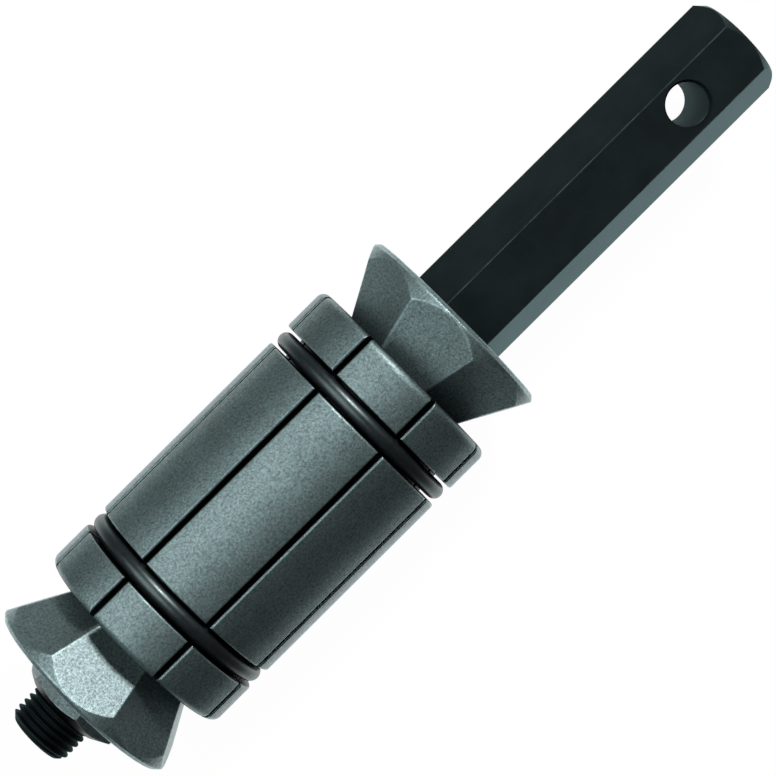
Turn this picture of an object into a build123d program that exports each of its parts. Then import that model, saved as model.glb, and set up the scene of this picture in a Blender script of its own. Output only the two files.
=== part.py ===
from build123d import *
import math
import os

# Exhaust pipe expander, millimetres and degrees.
# +X runs along the tool from the drive hexagon to the threaded nose and +Z is up.
# The origin is on the axis, half-way along the jaws, with the jaws closed.
# A clocking angle is measured from +Z towards +Y.

# Jaws
jaw_count = 8
closed_diameter = 38.9
jaw_length = 64.6
jaw_gap = 1.0
jaw_bore = 15.0
jaw_end_radius = 1.5
jaw_clocking = -1.7
edge_break = 0.25

# Rubber rings and their grooves
ring_section = 3.1
ring_from_jaw_end = 10.5
ring_sink = 0.2
groove_width = 4.0
groove_edge_radius = 0.4
ring_seat_clearance = 0.1

# Wedges
facet_angle = 28.5
seat_apothem = 12.5
seat_clearance = 0.03
wedge_diameter = 37.5
wedge_overhang = 12.4
wedge_narrow_apothem = 8.0
wedge_end_chamfer = 0.7
wedge_corner_radius = 0.4
radial_expansion = 4.8

# Spindle
thread_diameter = 12.0
thread_pitch = 1.25
thread_angle = 60.0
thread_depth_share = 0.6134
stud_protrusion = 6.75
stud_end_chamfer = 1.1
shank_clearance = 0.075
hexagon_across_flats = 16.9
hexagon_length = 67.3
hexagon_clocking = 12.3
hexagon_end_chamfer = 1.55
hexagon_edge_radius = 0.25
cross_hole_diameter = 7.5
cross_hole_from_end = 14.9
cross_hole_break = 0.45
cross_hole_break_depth = 0.8
thread_clearance = 0.05

# Thrust washer in the rear wedge
washer_diameter = 20.0
washer_thickness = 2.0
washer_clearance = 0.3
thrust_clearance = 0.05
hexagon_entry = 0.6

# Captive nut in the front wedge
nut_across_flats = 17.0
nut_protrusion = 4.15
nut_depth = 3.25
nut_face_diameter = 14.0
nut_clocking = 15.5
nut_clearance = 0.05
nut_chamfer_angle = 30.0
nut_bore_chamfer = 0.5

# Sizes that follow from the ones above
jaw_radius = closed_diameter / 2
half_jaw = jaw_length / 2
sector = 360 / jaw_count
facet_slope = math.tan(math.radians(facet_angle))
wedge_radius = wedge_diameter / 2
wedge_end = half_jaw + wedge_overhang
wedge_narrow_end = half_jaw - (seat_apothem - wedge_narrow_apothem) / facet_slope
wedge_travel = 2 * radial_expansion / facet_slope
ring_height = half_jaw - ring_from_jaw_end
ring_radius = jaw_radius - ring_sink - ring_section / 2
groove_floor_radius = ring_radius - ring_section / 2 - ring_seat_clearance
shank_radius = thread_diameter / 2
wedge_bore_radius = shank_radius + shank_clearance
nut_front = wedge_end + nut_protrusion
nut_back = wedge_end - nut_depth
stud_end = nut_front + stud_protrusion
washer_recess_depth = washer_thickness + hexagon_entry
hexagon_front = -wedge_end + hexagon_entry - thrust_clearance
hexagon_back = -wedge_end - hexagon_length
thread_start = nut_back - wedge_travel - 4 * thread_pitch

# Shapes are turned about their own Z and then laid along +X, with their X pointing up
tool_axis = Plane(origin=(0, 0, 0), x_dir=(0, 0, 1), z_dir=(1, 0, 0))


def laid(shape, clocking=0.0):
    """Lay a turned shape along the tool, with its X at this clocking angle."""
    return tool_axis * Rot(0, 0, -clocking) * shape


def turned(outline):
    """A solid of revolution about Z from (radius, height) points."""
    face = make_face(Plane.XZ * Polyline([(r, z) for r, z in outline], close=True))
    return revolve(face, Axis.Z)


def polygon_corners(sides, apothem):
    """Corners of a regular polygon with the middle of a side on X."""
    radius = apothem / math.cos(math.pi / sides)
    angles = [(2 * i + 1) * math.pi / sides for i in range(sides)]
    return [(radius * math.cos(a), radius * math.sin(a)) for a in angles]


def prism(sides, apothem, low, high):
    """A regular prism along Z between two heights."""
    face = make_face(Polyline(polygon_corners(sides, apothem), close=True))
    return Pos(0, 0, low) * extrude(face, high - low)


def facet_apothem(height):
    """Distance from the axis to a wedge facet at this distance from the jaws' middle."""
    return seat_apothem + (height - half_jaw) * facet_slope


def pyramid(low, high, growth):
    """The wedge's pyramid between two heights, its facets moved out by growth."""
    lift = growth / math.cos(math.radians(facet_angle))
    faces = []
    for height in (low, high):
        corners = polygon_corners(jaw_count, facet_apothem(height) + lift)
        faces.append(Pos(0, 0, height) * make_face(Polyline(corners, close=True)))
    return loft(faces)


def rims(shape, radius, height):
    """The circular edges of this radius at this height above and below the middle."""
    circles = shape.edges().filter_by(GeomType.CIRCLE)
    circles = circles.filter_by(lambda e: abs(e.radius - radius) < 0.01)
    return circles.filter_by(lambda e: abs(abs(e.center().Z) - height) < 0.01)


def mirrored(shape):
    """The same shape at the rear end of the jaws."""
    return mirror(shape, about=Plane.XY)


def wedge_blank():
    """Eight flat facets milled on a turned cone, with the wide end chamfered."""
    facets = pyramid(wedge_narrow_end, wedge_end, 0)
    corners = facets.edges().filter_by(lambda e: abs(e.tangent_at(0).Z) > 0.1)
    facets = fillet(corners, wedge_corner_radius)
    envelope = turned([
        (0, wedge_narrow_end),
        (wedge_radius, wedge_narrow_end),
        (wedge_radius, wedge_end - wedge_end_chamfer),
        (wedge_radius - wedge_end_chamfer, wedge_end),
        (0, wedge_end),
    ])
    bore = Cylinder(wedge_bore_radius, 4 * wedge_end)
    return facets & envelope - bore


def rear_wedge():
    """The wedge that the spindle bears on, recessed for the thrust washer."""
    recess_radius = washer_diameter / 2 + washer_clearance
    floor = wedge_end - washer_recess_depth
    recess = Pos(0, 0, floor) * extrude(Circle(recess_radius), washer_recess_depth)
    return laid(mirrored(wedge_blank() - recess), jaw_clocking)


def front_wedge():
    """The wedge that the nut draws along the spindle, with a hexagonal pocket for the nut."""
    pocket = prism(6, nut_across_flats / 2 + nut_clearance, nut_back, nut_front)
    pocket = Rot(0, 0, jaw_clocking - nut_clocking + 30) * pocket
    return laid(wedge_blank() - pocket, jaw_clocking)


def captive_nut():
    """A thin hexagonal nut with its front corners chamfered."""
    apothem = nut_across_flats / 2
    body = prism(6, apothem, nut_back, nut_front)
    corner = apothem / math.cos(math.radians(30))
    face_radius = nut_face_diameter / 2
    drop = (corner - face_radius) * math.tan(math.radians(nut_chamfer_angle))
    envelope = turned([
        (0, nut_back),
        (corner, nut_back),
        (corner, nut_front - drop),
        (face_radius, nut_front),
        (0, nut_front),
    ])
    bore_radius = shank_radius + thread_clearance
    bore = turned([
        (0, nut_back),
        (bore_radius, nut_back),
        (bore_radius, nut_front - nut_bore_chamfer),
        (bore_radius + nut_bore_chamfer, nut_front),
        (0, nut_front),
    ])
    return laid((body & envelope) - bore, nut_clocking + 30)


def thrust_washer():
    """The plain washer that takes the spindle's thrust."""
    floor = wedge_end - washer_recess_depth
    disc = Pos(0, 0, floor) * extrude(Circle(washer_diameter / 2), washer_thickness)
    disc = disc - Cylinder(wedge_bore_radius, 4 * wedge_end)
    return laid(mirrored(disc))


def jaw_ring():
    """All the jaws as one turned sleeve, grooved and seated for the wedges."""
    outer_wall = ring_height + groove_width / 2
    inner_wall = ring_height - groove_width / 2
    half = [
        (jaw_bore / 2, half_jaw),
        (jaw_radius, half_jaw),
        (jaw_radius, outer_wall),
        (groove_floor_radius, outer_wall),
        (groove_floor_radius, inner_wall),
        (jaw_radius, inner_wall),
    ]
    other = [(r, -z) for r, z in reversed(half)]
    sleeve = turned(half + other)
    sleeve = fillet(rims(sleeve, jaw_radius, half_jaw), jaw_end_radius)
    for wall in (outer_wall, inner_wall):
        sleeve = fillet(rims(sleeve, jaw_radius, wall), groove_edge_radius)
    deep = half_jaw - seat_apothem / facet_slope + thread_pitch
    seat = pyramid(deep, wedge_end, seat_clearance)
    return sleeve - seat - mirrored(seat)


def side_point(radius, inset):
    """A point on a jaw's side at this radius, this far from the middle of the gap beside it."""
    turn = math.radians(sector / 2)
    along = math.sqrt(radius ** 2 - inset ** 2)
    x = along * math.cos(turn) + inset * math.sin(turn)
    y = along * math.sin(turn) - inset * math.cos(turn)
    return (x, y)


def jaw_blank():
    """One jaw cut from the sleeve, its long outer edges broken."""
    apex = jaw_gap / 2 / math.sin(math.radians(sector / 2))
    side = [
        side_point(jaw_radius - edge_break, jaw_gap / 2),
        side_point(jaw_radius, jaw_gap / 2 + edge_break),
        side_point(1.2 * jaw_radius, jaw_gap / 2 + edge_break),
    ]
    other = [(x, -y) for x, y in reversed(side)]
    face = make_face(Polyline([(apex, 0)] + side + other, close=True))
    return jaw_ring() & Pos(0, 0, -half_jaw) * extrude(face, jaw_length)


def o_ring(end):
    """One rubber ring, seated on its groove's floor, at the front (+1) or rear (-1)."""
    return laid(Pos(0, 0, end * ring_height) * Torus(ring_radius, ring_section / 2))


def thread_groove(height):
    """The helical groove of the right-hand metric thread, from the origin up to this height."""
    depth = thread_depth_share * thread_pitch
    crest = thread_pitch / 8
    flank_slope = math.tan(math.radians(thread_angle / 2))
    half_root = (thread_pitch - crest) / 2 - depth * flank_slope
    rise = crest / 2
    half_open = half_root + (depth + rise) * flank_slope
    helix = Helix(pitch=thread_pitch, height=height, radius=shank_radius)
    start = Plane(origin=helix @ 0, x_dir=(1, 0, 0), z_dir=helix % 0)
    outline = [(-depth, -half_root), (rise, -half_open), (rise, half_open), (-depth, half_root)]
    section = start * make_face(Polyline(outline, close=True))
    return sweep(section, path=helix, is_frenet=True)


def threaded_shank():
    """The spindle's round part: a rod threaded past its nose, then cut to length and chamfered."""
    turns = math.ceil((stud_end - thread_start) / thread_pitch) + 1
    groove = Pos(0, 0, thread_start) * thread_groove(turns * thread_pitch)
    rod_end = thread_start + (turns + 2) * thread_pitch
    rod = turned([(0, hexagon_front), (shank_radius, hexagon_front), (shank_radius, rod_end), (0, rod_end)])
    finished = turned([
        (0, hexagon_front),
        (shank_radius, hexagon_front),
        (shank_radius, stud_end - stud_end_chamfer),
        (shank_radius - stud_end_chamfer, stud_end),
        (0, stud_end),
    ])
    return (rod - groove) & finished


def spindle():
    """Hexagon bar with a turned, threaded shank and a cross hole for a tommy bar."""
    apothem = hexagon_across_flats / 2
    bar = prism(6, apothem, hexagon_back, hexagon_front)
    bar = fillet(bar.edges().filter_by(Axis.Z), hexagon_edge_radius)
    corner = apothem / math.cos(math.radians(30))
    envelope = turned([
        (0, hexagon_back),
        (corner - hexagon_end_chamfer, hexagon_back),
        (corner, hexagon_back + hexagon_end_chamfer),
        (corner, hexagon_front - edge_break),
        (corner - edge_break, hexagon_front),
        (0, hexagon_front),
    ])
    hole_radius = cross_hole_diameter / 2
    rim_radius = hole_radius + cross_hole_break
    wall = apothem - cross_hole_break_depth
    hole = turned([
        (0, -corner),
        (rim_radius, -corner),
        (rim_radius, -apothem),
        (hole_radius, -wall),
        (hole_radius, wall),
        (rim_radius, apothem),
        (rim_radius, corner),
        (0, corner),
    ])
    hole_height = hexagon_back + cross_hole_from_end
    hole = Pos(0, 0, hole_height) * Rot(0, 90, 0) * hole
    return laid(((bar & envelope) - hole) + threaded_shank(), hexagon_clocking)


os.makedirs("parts", exist_ok=True)
export_step(spindle(), "parts/spindle.step")
export_step(rear_wedge(), "parts/rear_wedge.step")
export_step(thrust_washer(), "parts/thrust_washer.step")
export_step(front_wedge(), "parts/front_wedge.step")
export_step(captive_nut(), "parts/captive_nut.step")
one_jaw = jaw_blank()
for number in range(jaw_count):
    jaw = laid(one_jaw, jaw_clocking + number * sector)
    export_step(jaw, f"parts/jaw_{number + 1}.step")
export_step(o_ring(1), "parts/o_ring_front.step")
export_step(o_ring(-1), "parts/o_ring_rear.step")
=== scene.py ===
import math

import bpy
from mathutils import Matrix, Vector


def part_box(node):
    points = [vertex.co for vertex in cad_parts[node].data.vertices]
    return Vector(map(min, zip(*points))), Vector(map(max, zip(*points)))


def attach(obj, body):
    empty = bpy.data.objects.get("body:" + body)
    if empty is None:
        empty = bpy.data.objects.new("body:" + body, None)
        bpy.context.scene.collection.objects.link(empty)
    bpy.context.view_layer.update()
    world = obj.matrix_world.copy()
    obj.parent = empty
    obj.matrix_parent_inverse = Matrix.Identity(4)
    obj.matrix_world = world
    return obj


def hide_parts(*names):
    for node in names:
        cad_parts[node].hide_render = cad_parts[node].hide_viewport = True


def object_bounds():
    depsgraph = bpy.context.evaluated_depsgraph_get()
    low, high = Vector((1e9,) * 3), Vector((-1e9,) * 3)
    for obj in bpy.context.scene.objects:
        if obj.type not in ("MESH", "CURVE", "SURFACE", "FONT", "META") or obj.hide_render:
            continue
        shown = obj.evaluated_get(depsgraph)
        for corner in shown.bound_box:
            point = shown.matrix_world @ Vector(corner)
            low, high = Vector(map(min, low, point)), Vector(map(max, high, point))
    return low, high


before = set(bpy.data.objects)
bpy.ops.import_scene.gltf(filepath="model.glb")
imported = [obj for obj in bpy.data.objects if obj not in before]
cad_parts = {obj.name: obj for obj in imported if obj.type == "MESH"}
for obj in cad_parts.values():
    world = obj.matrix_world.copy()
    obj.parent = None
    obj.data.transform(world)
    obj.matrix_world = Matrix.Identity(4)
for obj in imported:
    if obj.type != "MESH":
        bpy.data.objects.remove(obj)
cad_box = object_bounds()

MM = 0.001

# The photograph's view, in millimetres, degrees and pixels of its 776 x 776 frame
IMAGE_SIZE = 776
PIXELS_PER_MM = 5.9
CAMERA_HEIGHT = 446.0
CAMERA_X = -25.0
AIM_X = -28.4
VIEW_Y = 0.02
AXIS_ROLL = 44.82
SENSOR_WIDTH = 36.0

# The camera sees from here to here, in metres
CLIP_START = 0.02
CLIP_END = 20.0

# Lights: direction and distance from the jaws and side in metres, power in watts
KEY_LIGHT = {
    "direction": (-0.676, -0.240, 0.697),
    "distance": 1.5,
    "size": 0.25,
    "power": 13.0,
    "colour": (1.0, 0.93, 0.93),
}
FILL_LIGHT = {
    "direction": (0.422, -0.448, 0.788),
    "distance": 0.8,
    "size": 0.69,
    "power": 2.61,
    "colour": (1.0, 1.0, 1.0),
}
SKY = 0.014

# The floor's half side in metres, its glow, and the share of the glow that the camera sees
FLOOR_HALF_SIZE = 1.5
FLOOR_GLOW = 1.09
FLOOR_GLOW_SEEN = 0.9

# The floor glows in reflections up to this far from the tool and fades out over this far
GLOW_REACH = 35 * MM
GLOW_FADE = 40 * MM

# Colours, linear
STEEL_TINT = (0.278, 0.395, 0.403, 1)
# Painted shade, near black, for the jaw ends, gap and groove walls, groove floors and the nut's front
# face
PAINTED_SHADE_TINT = (0.012, 0.016, 0.018, 1)
BLACK_TINT = (0.036, 0.055, 0.060, 1)
RUBBER_TINT = (0.009, 0.012, 0.014, 1)
COOL_GLOSS = (0.75, 1.0, 1.0, 1)
FLOOR_TINT = (0.35, 0.35, 0.35, 1)
FLOOR_TINT_MIRRORED = (0.12, 0.12, 0.12, 1)
WHITE = (1, 1, 1, 1)

# How bright these are against their piece's tint, or against the steel's
NUT_SHADE = 0.6
WASHER_SHADE = 1.3
SPECK_SHADE = 1.7
# Edges brighter than the tint: partly real wear, partly painted highlight
WEAR_AND_HIGHLIGHT_SHADE = 2.1
WEDGE_WEAR_AND_HIGHLIGHT_SHADE = 2.4
NUT_WEAR_AND_HIGHLIGHT_SHADE = 3.5
# Painted shade: the black steel's bore and thread are darkened by this
BORE_PAINTED_SHADE = 0.6
# The hexagon's corners lightened by this: partly rubbed wear, partly painted highlight
CORNER_WEAR_AND_HIGHLIGHT_SHADE = 2.4

# Noise scales of the patterns: the higher, the finer
STEEL_MOTTLE = 110.0
STEEL_GRAIN = 2400.0
STEEL_SPECKS = 3600.0
STEEL_RUB = 600.0
BLACK_MOTTLE = 140.0
BLACK_GRAIN = 3000.0
BLACK_RUB = 500.0
RUBBER_GRAIN = 1500.0

# Strength of the steel's patterns and of its brighter worn edges, which are partly painted highlight,
# and how much smoother its worn edges are
GRAIN_SWING = 0.55
SPECK_STRENGTH = 0.5
WEAR_AND_HIGHLIGHT_STRENGTH = 0.8
WEAR_POLISH = 0.10

# Height of the grain in steel, in the oil on it, and in the two smooth materials
STEEL_GRAIN_HEIGHT = 0.05 * MM
OIL_GRAIN_HEIGHT = 0.02 * MM
SMOOTH_GRAIN_HEIGHT = 0.01 * MM

# Edges look rounded by this much, and are worn and brightened with painted highlight over these widths
EDGE_ROUNDING = 0.35 * MM
WEAR_WIDTH = 0.3 * MM
WEDGE_WEAR_WIDTH = 0.8 * MM

# Cosine between the rounded and the plain normal where the worn, brightened edge starts and where it is
# full
WEAR_START = 0.997
WEAR_FULL = 0.972

# Jaws, and the outside of the captive nut
JAW_COUNT = 8
JAW_CLOCKING = math.radians(-1.7)
JAW_RADIUS = 19.45 * MM
NUT_RADIUS = 8.4 * MM

# The spindle's hexagon, from its axis to a flat and to a rounded corner
HEXAGON_APOTHEM = 8.45 * MM
HEXAGON_CORNER = 9.72 * MM

# Depths below the outer radius, the flat or the corner where its own look starts and is complete: steel
# free of painted shade, black steel free of the bore's painted shade, and the corners' lightening
UNSHADED_DEPTHS = (1.6 * MM, 1.0 * MM)
FLAT_DEPTHS = (0.3 * MM, 0.1 * MM)
CORNER_DEPTHS = (0.07 * MM, 0.03 * MM)

# Rubber rings: the radii of their section and of its centre line, from the CAD solid
RING_LOW, RING_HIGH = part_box("o_ring_front")
RING_SECTION = (RING_HIGH.x - RING_LOW.x) / 2
RING_CENTRE = (RING_HIGH.y - RING_LOW.y) / 2 - RING_SECTION

# A ring stretch: its mesh steps, and its tails with a shoulder, a neck and a thinner run
ARC_STEPS = 14
STEPS_AROUND = 28
TAIL_SHOULDER = 0.02 * MM
TAIL_NECK = 0.3 * MM
TAIL_THINNING = 0.14 * MM
TAIL_LENGTH = 2.25 * MM
TIP_LENGTH = 0.01 * MM
TIP_SHARE = 0.6


def scaled(colour, factor):
    return tuple(c * factor for c in colour[:3]) + (1,)


class Nodes:
    """Short way to build a node material."""

    def __init__(self, name):
        self.material = bpy.data.materials.new(name)
        self.material.use_nodes = True
        self.tree = self.material.node_tree
        self.shader = self.tree.nodes["Principled BSDF"]
        self.output = self.tree.nodes["Material Output"]
        self.place = self.add("ShaderNodeTexCoord").outputs["Object"]

    def add(self, kind, inputs=None, **settings):
        node = self.tree.nodes.new(kind)
        for key, value in settings.items():
            setattr(node, key, value)
        for key, value in (inputs or {}).items():
            self.feed(node.inputs[key], value)
        return node

    def feed(self, socket, value):
        """Link a socket, or give it a constant."""
        if isinstance(value, bpy.types.NodeSocket):
            self.tree.links.new(value, socket)
        else:
            socket.default_value = value

    def set(self, **constants):
        """Constants on the shader's own sockets, with _ for each space in a name."""
        for key, value in constants.items():
            self.shader.inputs[key.replace("_", " ")].default_value = value

    def noise(self, scale, detail, roughness=0.5):
        inputs = {"Vector": self.place, "Scale": scale, "Detail": detail, "Roughness": roughness}
        return self.add("ShaderNodeTexNoise", inputs).outputs["Fac"]

    def ramp(self, value, low, high, from_value=0.0, to_value=1.0):
        """from_value up to low, to_value from high on, and straight in between."""
        ends = {"From Min": low, "From Max": high, "To Min": from_value, "To Max": to_value}
        return self.add("ShaderNodeMapRange", {"Value": value, **ends}).outputs["Result"]

    def math(self, operation, a, b=0.0):
        return self.add("ShaderNodeMath", {0: a, 1: b}, operation=operation).outputs[0]

    def vector(self, operation, a, b=None):
        node = self.add("ShaderNodeVectorMath", {0: a}, operation=operation)
        if b is not None:
            self.feed(node.inputs[1], b)
        return node

    def mix(self, share, a, b):
        inputs = {"Factor": share, "A": a, "B": b}
        return self.add("ShaderNodeMix", inputs, data_type="RGBA").outputs["Result"]

    def mix_shaders(self, share, a, b):
        return self.add("ShaderNodeMixShader", {0: share, 1: a, 2: b}).outputs["Shader"]

    def mottled(self, tint, scale, dark, light):
        """The tint with faint patches between these two shades of it."""
        patches = self.ramp(self.noise(scale, detail=4.0, roughness=0.6), 0.3, 0.7)
        return self.mix(patches, scaled(tint, dark), scaled(tint, light))

    def shaded(self, colour, shade):
        node = self.vector("SCALE", colour)
        self.feed(node.inputs["Scale"], shade)
        return node.outputs["Vector"]

    def place_along(self, axis):
        return self.add("ShaderNodeSeparateXYZ", {0: self.place}).outputs[axis]

    def from_axis(self):
        """The vector from the tool's axis to the surface."""
        return self.vector("MULTIPLY", self.place, (0, 1, 1)).outputs["Vector"]

    def near_radius(self, radius, depths):
        """0 up to the first depth below this distance from the axis, 1 from the second on."""
        start, complete = depths
        distance = self.vector("LENGTH", self.from_axis()).outputs["Value"]
        return self.ramp(distance, radius - start, radius - complete)

    def outward(self, low, high):
        """1 where the surface faces away from the tool's axis, 0 on ends, walls and bores."""
        away = self.vector("NORMALIZE", self.from_axis()).outputs["Vector"]
        cosine = self.vector("DOT_PRODUCT", away, self.plain_normal())
        return self.ramp(cosine.outputs["Value"], low, high)

    def plain_normal(self):
        return self.add("ShaderNodeNewGeometry").outputs["True Normal"]

    def rounded_normal(self, radius):
        return self.add("ShaderNodeBevel", {"Radius": radius}, samples=6).outputs["Normal"]

    def edge_wear_and_highlight(self, width):
        """1 along edges within about this width, 0 elsewhere."""
        cosine = self.vector("DOT_PRODUCT", self.rounded_normal(width), self.plain_normal())
        return self.ramp(cosine.outputs["Value"], WEAR_START, WEAR_FULL)

    def bump(self, height, distance, strength, normal=None):
        inputs = {"Height": height, "Distance": distance, "Strength": strength}
        if normal is not None:
            inputs["Normal"] = normal
        return self.add("ShaderNodeBump", inputs).outputs["Normal"]


def steel(name, tint, only_outside=None, facing=(0.35, 0.75), wear=(WEAR_WIDTH, WEAR_AND_HIGHLIGHT_SHADE), grain=1.0):
    """Fine grained satin steel under a film of oil, with speckle, faint mottling and worn edges that
    are brightened partly as painted highlight.

    With only_outside, a radius, the surfaces that don't face outwards at that radius, such as ends,
    gap and groove walls and groove floors, are painted near black as shade. facing is how squarely
    they have to face outwards, as the cosines where the unshaded steel starts and where it is complete.
    wear is the width of the worn edges and their brightness against the tint, which is partly real
    wear and partly painted highlight. grain is the strength of the grain and the specks.
    """
    wear_width, wear_and_highlight_shade = wear
    swing = GRAIN_SWING * grain
    n = Nodes(name)
    fine = n.noise(STEEL_GRAIN, detail=3.0, roughness=0.75)
    colour = n.mottled(tint, STEEL_MOTTLE, dark=0.90, light=1.10)
    colour = n.shaded(colour, n.ramp(fine, 0.3, 0.7, from_value=1.0 - swing, to_value=1.0 + swing))
    specks = n.ramp(n.noise(STEEL_SPECKS, detail=1.0), 0.60, 0.72, to_value=SPECK_STRENGTH * grain)
    colour = n.mix(specks, colour, scaled(tint, SPECK_SHADE))
    rub = n.ramp(n.noise(STEEL_RUB, detail=3.0), 0.35, 0.6, from_value=0.25)
    # Worn edges, lighter in colour as partly real wear and partly painted highlight, and smoother
    edge = n.math("MULTIPLY", n.edge_wear_and_highlight(wear_width), rub)
    colour = n.mix(n.math("MULTIPLY", edge, WEAR_AND_HIGHLIGHT_STRENGTH), colour, scaled(tint, wear_and_highlight_shade))
    rough = n.ramp(fine, 0.3, 0.75, from_value=0.58, to_value=0.50)
    rough = n.math("SUBTRACT", rough, n.math("MULTIPLY", edge, WEAR_POLISH))
    if only_outside:
        # Surfaces that don't face outwards near the outer radius are painted near black as shade
        unshaded = n.math("MULTIPLY", n.outward(*facing), n.near_radius(only_outside, UNSHADED_DEPTHS))
        colour = n.mix(unshaded, PAINTED_SHADE_TINT, colour)
    rounded = n.rounded_normal(EDGE_ROUNDING)
    n.feed(n.shader.inputs["Base Color"], colour)
    n.feed(n.shader.inputs["Roughness"], rough)
    n.feed(n.shader.inputs["Normal"], n.bump(fine, STEEL_GRAIN_HEIGHT, grain, rounded))
    n.feed(n.shader.inputs["Coat Normal"], n.bump(fine, OIL_GRAIN_HEIGHT, grain, rounded))
    n.set(Metallic=1.0, Coat_Weight=0.4, Coat_Roughness=0.32)
    return n.material


def black_steel(name):
    """Black oxide steel: smooth, nearly black, lighter along the hexagon's corners as rubbed wear and
    painted highlight, rougher in its bore and painted darker there and on its thread as shade.
    """
    n = Nodes(name)
    fine = n.noise(BLACK_GRAIN, detail=2.0, roughness=0.6)
    colour = n.mottled(BLACK_TINT, BLACK_MOTTLE, dark=0.8, light=1.2)
    # Below the flats, in the bore and on the thread, the colour is darkened as painted shade
    outside = n.near_radius(HEXAGON_APOTHEM, FLAT_DEPTHS)
    colour = n.mix(outside, scaled(BLACK_TINT, BORE_PAINTED_SHADE), colour)
    patchy = n.ramp(n.noise(BLACK_RUB, detail=4.0), 0.35, 0.6, from_value=0.2)
    # The hexagon's corners are lightened: partly rubbed wear, partly painted highlight
    rubbed_and_lit = n.math("MULTIPLY", n.near_radius(HEXAGON_CORNER, CORNER_DEPTHS), patchy)
    colour = n.mix(rubbed_and_lit, colour, scaled(BLACK_TINT, CORNER_WEAR_AND_HIGHLIGHT_SHADE))
    rough = n.ramp(outside, 0.0, 1.0, from_value=0.7, to_value=0.40)
    n.feed(n.shader.inputs["Base Color"], colour)
    n.feed(n.shader.inputs["Roughness"], rough)
    n.feed(n.shader.inputs["Normal"], n.bump(fine, SMOOTH_GRAIN_HEIGHT, strength=0.4))
    n.set(Metallic=0.75, Specular_Tint=COOL_GLOSS)
    return n.material


def rubber(name):
    """Smooth black ring rubber with faint moulding marks."""
    n = Nodes(name)
    fine = n.noise(RUBBER_GRAIN, detail=3.0, roughness=0.6)
    colour = n.mix(fine, scaled(RUBBER_TINT, 0.7), scaled(RUBBER_TINT, 1.4))
    rough = n.ramp(fine, 0.3, 0.7, from_value=0.33, to_value=0.43)
    n.feed(n.shader.inputs["Base Color"], colour)
    n.feed(n.shader.inputs["Roughness"], rough)
    n.feed(n.shader.inputs["Normal"], n.bump(fine, SMOOTH_GRAIN_HEIGHT, strength=0.2))
    n.set(IOR=2.1, Specular_Tint=COOL_GLOSS)
    return n.material


def near_tool(n):
    """1 on the floor close to the tool, 0 farther away."""
    low, high = cad_box
    from_middle = n.math("ABSOLUTE", n.math("SUBTRACT", n.place_along("X"), (low.x + high.x) / 2))
    past_end = n.math("SUBTRACT", from_middle, (high.x - low.x) / 2)
    away = n.math("MAXIMUM", past_end, n.math("ABSOLUTE", n.place_along("Y")))
    return n.ramp(away, GLOW_REACH, GLOW_REACH + GLOW_FADE, from_value=1.0, to_value=0.0)


def white_floor(name):
    """White to the camera, with the tool's shadow, and in reflections near the tool.

    From below it can be looked through.
    """
    n = Nodes(name)
    path = n.add("ShaderNodeLightPath")
    mirrored = n.math("MAXIMUM", path.outputs["Is Glossy Ray"], path.outputs["Is Transmission Ray"])
    n.feed(n.shader.inputs["Base Color"], n.mix(mirrored, FLOOR_TINT, FLOOR_TINT_MIRRORED))
    n.set(Roughness=0.9, Specular_IOR_Level=0.0)
    glow = n.add("ShaderNodeEmission", {"Color": WHITE, "Strength": FLOOR_GLOW})
    seen = n.math("MULTIPLY", path.outputs["Is Camera Ray"], FLOOR_GLOW_SEEN)
    glowing = n.math("MAXIMUM", seen, n.math("MULTIPLY", mirrored, near_tool(n)))
    top = n.mix_shaders(glowing, n.shader.outputs["BSDF"], glow.outputs["Emission"])
    clear = n.add("ShaderNodeBsdfTransparent").outputs["BSDF"]
    from_below = n.add("ShaderNodeNewGeometry").outputs["Backfacing"]
    n.feed(n.output.inputs["Surface"], n.mix_shaders(from_below, top, clear))
    return n.material


def paint(piece, material):
    piece.data.materials.clear()
    piece.data.materials.append(material)


def new_piece(name, points, faces):
    mesh = bpy.data.meshes.new(name)
    mesh.from_pydata(points, [], faces)
    piece = bpy.data.objects.new(name, mesh)
    bpy.context.scene.collection.objects.link(piece)
    return piece


def jaw_angle(number):
    """Clocking of a jaw's middle from +Z towards +Y."""
    return JAW_CLOCKING + number * 2 * math.pi / JAW_COUNT


def stretch_stations():
    """A ring stretch from end to end: turn from the jaw's middle, way along the tail, radius."""
    half = math.pi / JAW_COUNT
    thin = RING_SECTION - TAIL_THINNING
    tail = [
        (TAIL_SHOULDER, RING_SECTION),
        (TAIL_NECK, thin),
        (TAIL_LENGTH, thin),
        (TAIL_LENGTH + TIP_LENGTH, TIP_SHARE * thin),
    ]
    start = [(-half, -along, radius) for along, radius in reversed(tail)]
    arc = [(-half + 2 * half * i / ARC_STEPS, 0.0, RING_SECTION) for i in range(ARC_STEPS + 1)]
    end = [(half, along, radius) for along, radius in tail]
    return start + arc + end


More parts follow.
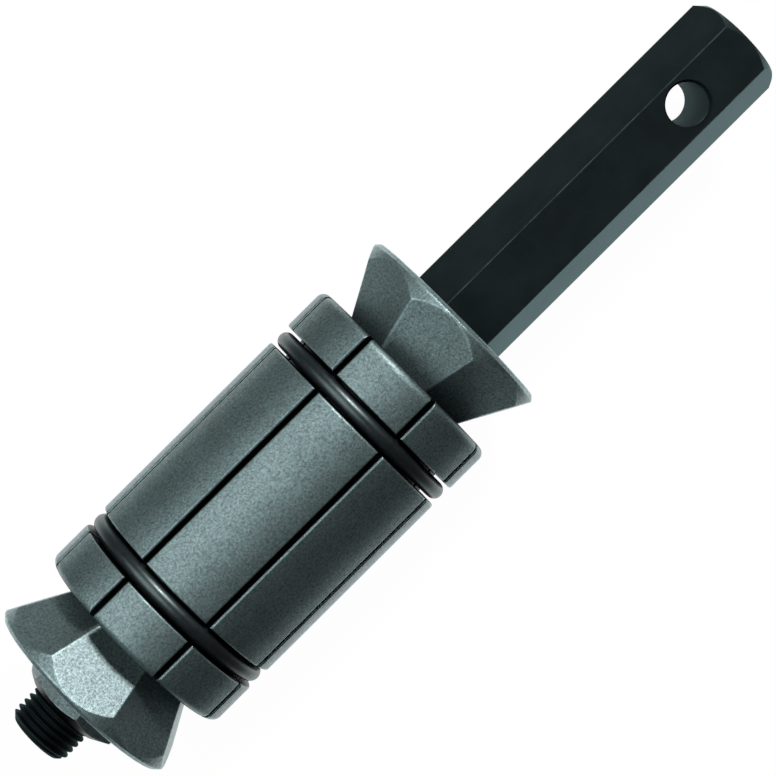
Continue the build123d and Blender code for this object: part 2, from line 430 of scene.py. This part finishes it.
def stretch_of_ring(name, middle, plane_x):
    """One jaw's stretch of a rubber ring, with the clocking of that jaw's middle.

    It follows the ring over the jaw and ends in two thinner, straight tails. At rest they are
    hidden in the next stretches, and as the jaws spread they show as the stretched rubber
    that bridges the gap.
    """
    stations = stretch_stations()
    sideways = Vector((1, 0, 0))
    points = []
    for turn, along, radius in stations:
        angle = middle + turn
        outward = Vector((0, math.sin(angle), math.cos(angle)))
        forward = Vector((0, math.cos(angle), -math.sin(angle)))
        centre = Vector((plane_x, 0, 0)) + outward * RING_CENTRE + forward * along
        for j in range(STEPS_AROUND):
            roll = 2 * math.pi * j / STEPS_AROUND
            spoke = outward * math.cos(roll) + sideways * math.sin(roll)
            points.append(tuple(centre + spoke * radius))
    faces = []
    for i in range(len(stations) - 1):
        loop = i * STEPS_AROUND
        next_loop = loop + STEPS_AROUND
        for j in range(STEPS_AROUND):
            k = (j + 1) % STEPS_AROUND
            faces.append((loop + j, loop + k, next_loop + k, next_loop + j))
    last_loop = (len(stations) - 1) * STEPS_AROUND
    faces.append(tuple(range(STEPS_AROUND))[::-1])
    faces.append(tuple(range(last_loop, last_loop + STEPS_AROUND)))
    piece = new_piece(name, points, faces)
    piece.data.polygons.foreach_set("use_smooth", [True] * len(faces))
    piece.data.update()
    return piece


def make_rings():
    """Both rubber rings, as one stretch for each jaw."""
    material = rubber("ring_rubber")
    for node in ("o_ring_front", "o_ring_rear"):
        low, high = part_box(node)
        plane_x = (low.x + high.x) / 2
        for number in range(JAW_COUNT):
            piece = stretch_of_ring(f"{node}_stretch_{number + 1}", jaw_angle(number), plane_x)
            paint(piece, material)
            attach(piece, f"jaw_{number + 1}")
            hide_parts(node)


def dress_metal():
    """Each metal solid in its own steel, and the jaws in theirs."""
    nut_tint = scaled(STEEL_TINT, NUT_SHADE)
    nut_wear = (WEAR_WIDTH, NUT_WEAR_AND_HIGHLIGHT_SHADE)
    jaw_steel = steel("jaw_steel", STEEL_TINT, JAW_RADIUS)
    wedge_steel = steel("wedge_steel", STEEL_TINT, wear=(WEDGE_WEAR_WIDTH, WEDGE_WEAR_AND_HIGHLIGHT_SHADE))
    steels = {
        "spindle": black_steel("black_steel"),
        "captive_nut": steel("nut_steel", nut_tint, NUT_RADIUS, facing=(0.6, 0.8), wear=nut_wear),
        "thrust_washer": steel("washer_steel", scaled(STEEL_TINT, WASHER_SHADE), grain=0.5),
        "front_wedge": wedge_steel,
        "rear_wedge": wedge_steel,
    }
    for name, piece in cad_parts.items():
        paint(piece, steels.get(name, jaw_steel))


def make_camera():
    """The photograph's camera, above the tool and a little off its middle."""
    data = bpy.data.cameras.new("photo_camera")
    data.sensor_width = SENSOR_WIDTH
    data.lens = SENSOR_WIDTH * PIXELS_PER_MM * CAMERA_HEIGHT / IMAGE_SIZE
    data.clip_start = CLIP_START
    data.clip_end = CLIP_END
    camera = bpy.data.objects.new("photo_camera", data)
    bpy.context.scene.collection.objects.link(camera)
    place = Vector((CAMERA_X, VIEW_Y, CAMERA_HEIGHT)) * MM
    aim = Vector((AIM_X, VIEW_Y, 0)) * MM
    back = (place - aim).normalized()
    roll = math.radians(AXIS_ROLL)
    right = Vector((-math.cos(roll), math.sin(roll), 0))
    right = (right - back * right.dot(back)).normalized()
    up = back.cross(right)
    turn = Matrix((right, up, back)).transposed()
    camera.matrix_world = Matrix.Translation(place) @ turn.to_4x4()
    bpy.context.scene.camera = camera


def make_floor():
    """A white sheet under the tool."""
    height = cad_box[0].z
    half = FLOOR_HALF_SIZE
    corners = [(-half, -half), (half, -half), (half, half), (-half, half)]
    floor = new_piece("floor", [(x, y, height) for x, y in corners], [(0, 1, 2, 3)])
    paint(floor, white_floor("floor_white"))


def make_world():
    """A dark studio that shows as white to the camera."""
    world = bpy.data.worlds.new("studio")
    bpy.context.scene.world = world
    world.use_nodes = True
    tree = world.node_tree
    background = tree.nodes["Background"]
    path = tree.nodes.new("ShaderNodeLightPath")
    mix = tree.nodes.new("ShaderNodeMix")
    mix.data_type = "RGBA"
    tree.links.new(path.outputs["Is Camera Ray"], mix.inputs["Factor"])
    mix.inputs["A"].default_value = (SKY, SKY, SKY, 1)
    mix.inputs["B"].default_value = WHITE
    tree.links.new(mix.outputs["Result"], background.inputs["Color"])
    background.inputs["Strength"].default_value = 1.0


def area_light(name, direction, distance, size, power, colour):
    """A square soft light in this direction from the jaws, pointing at them."""
    data = bpy.data.lights.new(name, "AREA")
    data.shape = "SQUARE"
    data.size = size
    data.energy = power
    data.color = colour
    lamp = bpy.data.objects.new(name, data)
    bpy.context.scene.collection.objects.link(lamp)
    back = Vector(direction).normalized()
    lamp.location = back * distance
    lamp.rotation_mode = "QUATERNION"
    lamp.rotation_quaternion = back.to_track_quat("Z", "Y")


make_camera()
make_floor()
make_world()
area_light("key", **KEY_LIGHT)
area_light("fill", **FILL_LIGHT)
dress_metal()
make_rings()
bpy.context.scene.view_settings.view_transform = "Standard"
